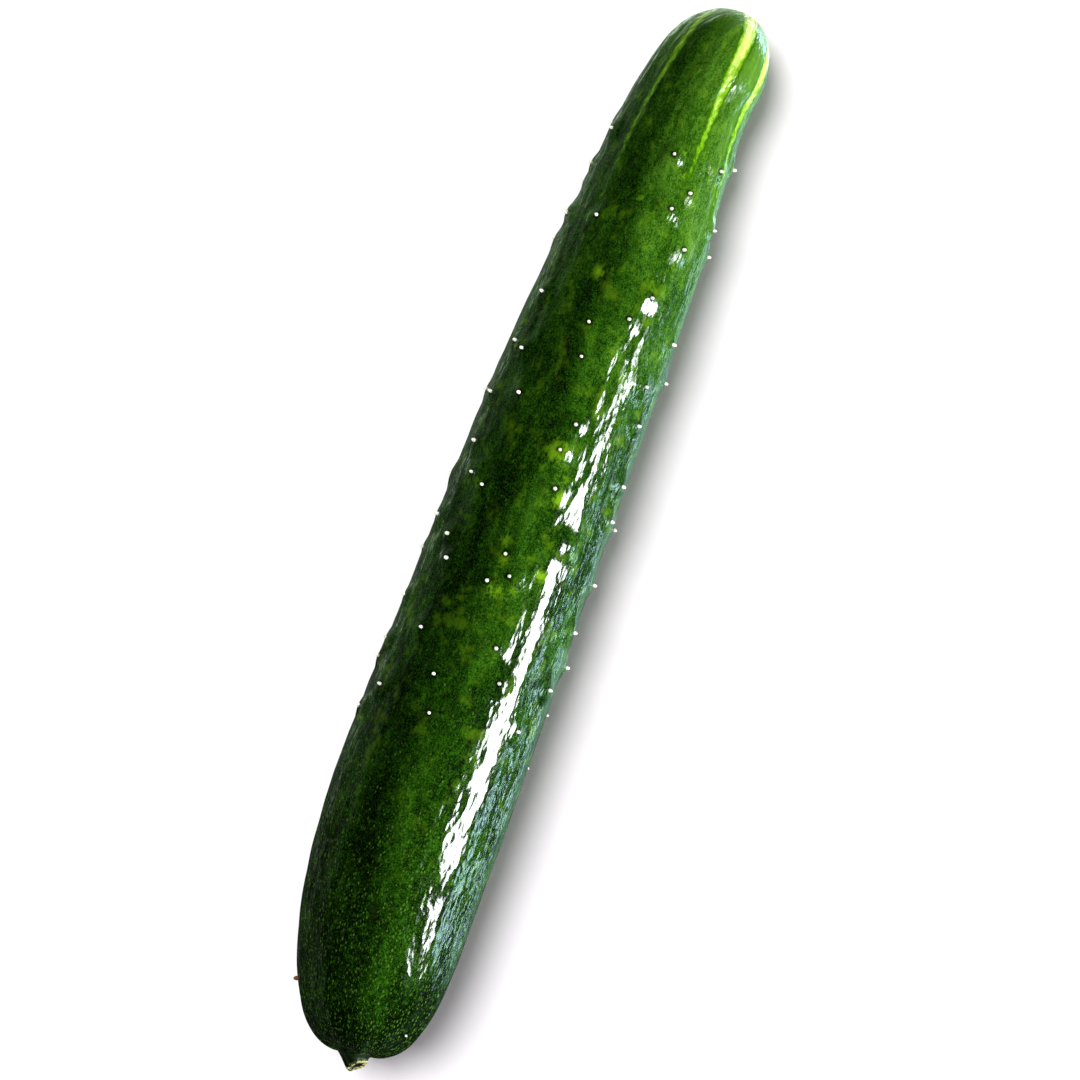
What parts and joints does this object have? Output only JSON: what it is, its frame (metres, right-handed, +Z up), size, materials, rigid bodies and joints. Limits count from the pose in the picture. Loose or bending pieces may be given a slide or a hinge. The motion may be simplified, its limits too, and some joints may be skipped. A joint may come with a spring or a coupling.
{
  "type": "cucumber",
  "caption": "Whole cucumber lying on its side: long, faintly ribbed and gently curved, with low warts, small prickles and a short cut stalk.",
  "frame": {"origin": "on the surface that the cucumber lies on, below the middle of its bounding box", "axes": "+X along the cucumber towards its blossom end, +Z up"},
  "size_m": [0.2202, 0.0368, 0.0359],
  "materials": {
    "skin": "waxy, glossy dark green skin with light specks, pale prickle tips and yellow-green stripes at the blossom end",
    "stalk": "dull dark green stalk with a dry, pale yellow rim round its cut end"
  },
  "bodies": {
    "root": {"fruit": "skin", "stalk_stub": "stalk"}
  },
  "joints": []
}
